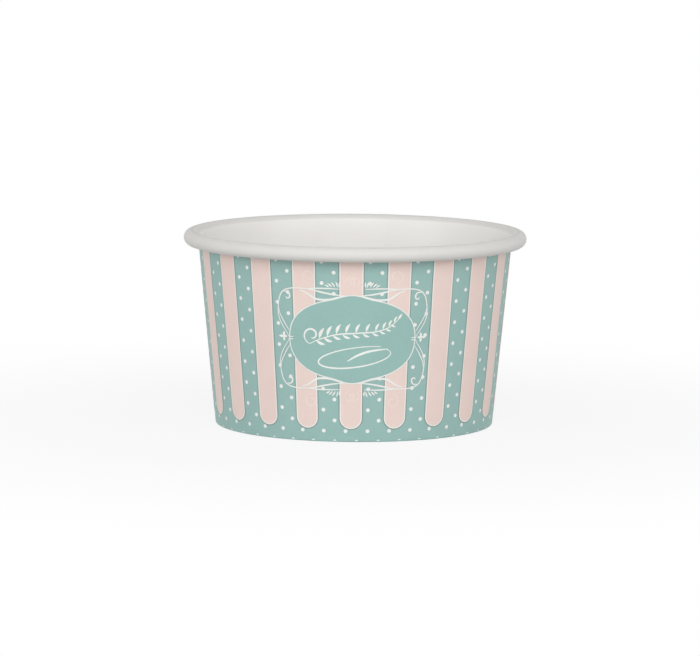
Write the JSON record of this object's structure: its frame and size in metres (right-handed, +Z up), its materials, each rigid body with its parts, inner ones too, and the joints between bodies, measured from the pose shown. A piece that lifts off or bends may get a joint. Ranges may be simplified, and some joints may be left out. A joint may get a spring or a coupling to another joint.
{
  "type": "paper ice cream cup",
  "caption": "Round single-wall paper ice cream cup with a rolled rim, a lapped side seam, a folded foot and a recessed bottom disc.",
  "frame": {"origin": "centre of the circle that the cup stands on, in the plane of the surface it stands on", "axes": "+Z up along the cup's axis, towards the open mouth; the front of the print faces -Y and the side seam is at +Y"},
  "size_m": [0.09, 0.09, 0.0507],
  "materials": {
    "wall_board": "satin",
    "disc_board": "satin"
  },
  "bodies": {
    "root": {"side_wall": "wall_board", "bottom_disc": "disc_board"}
  },
  "joints": []
}
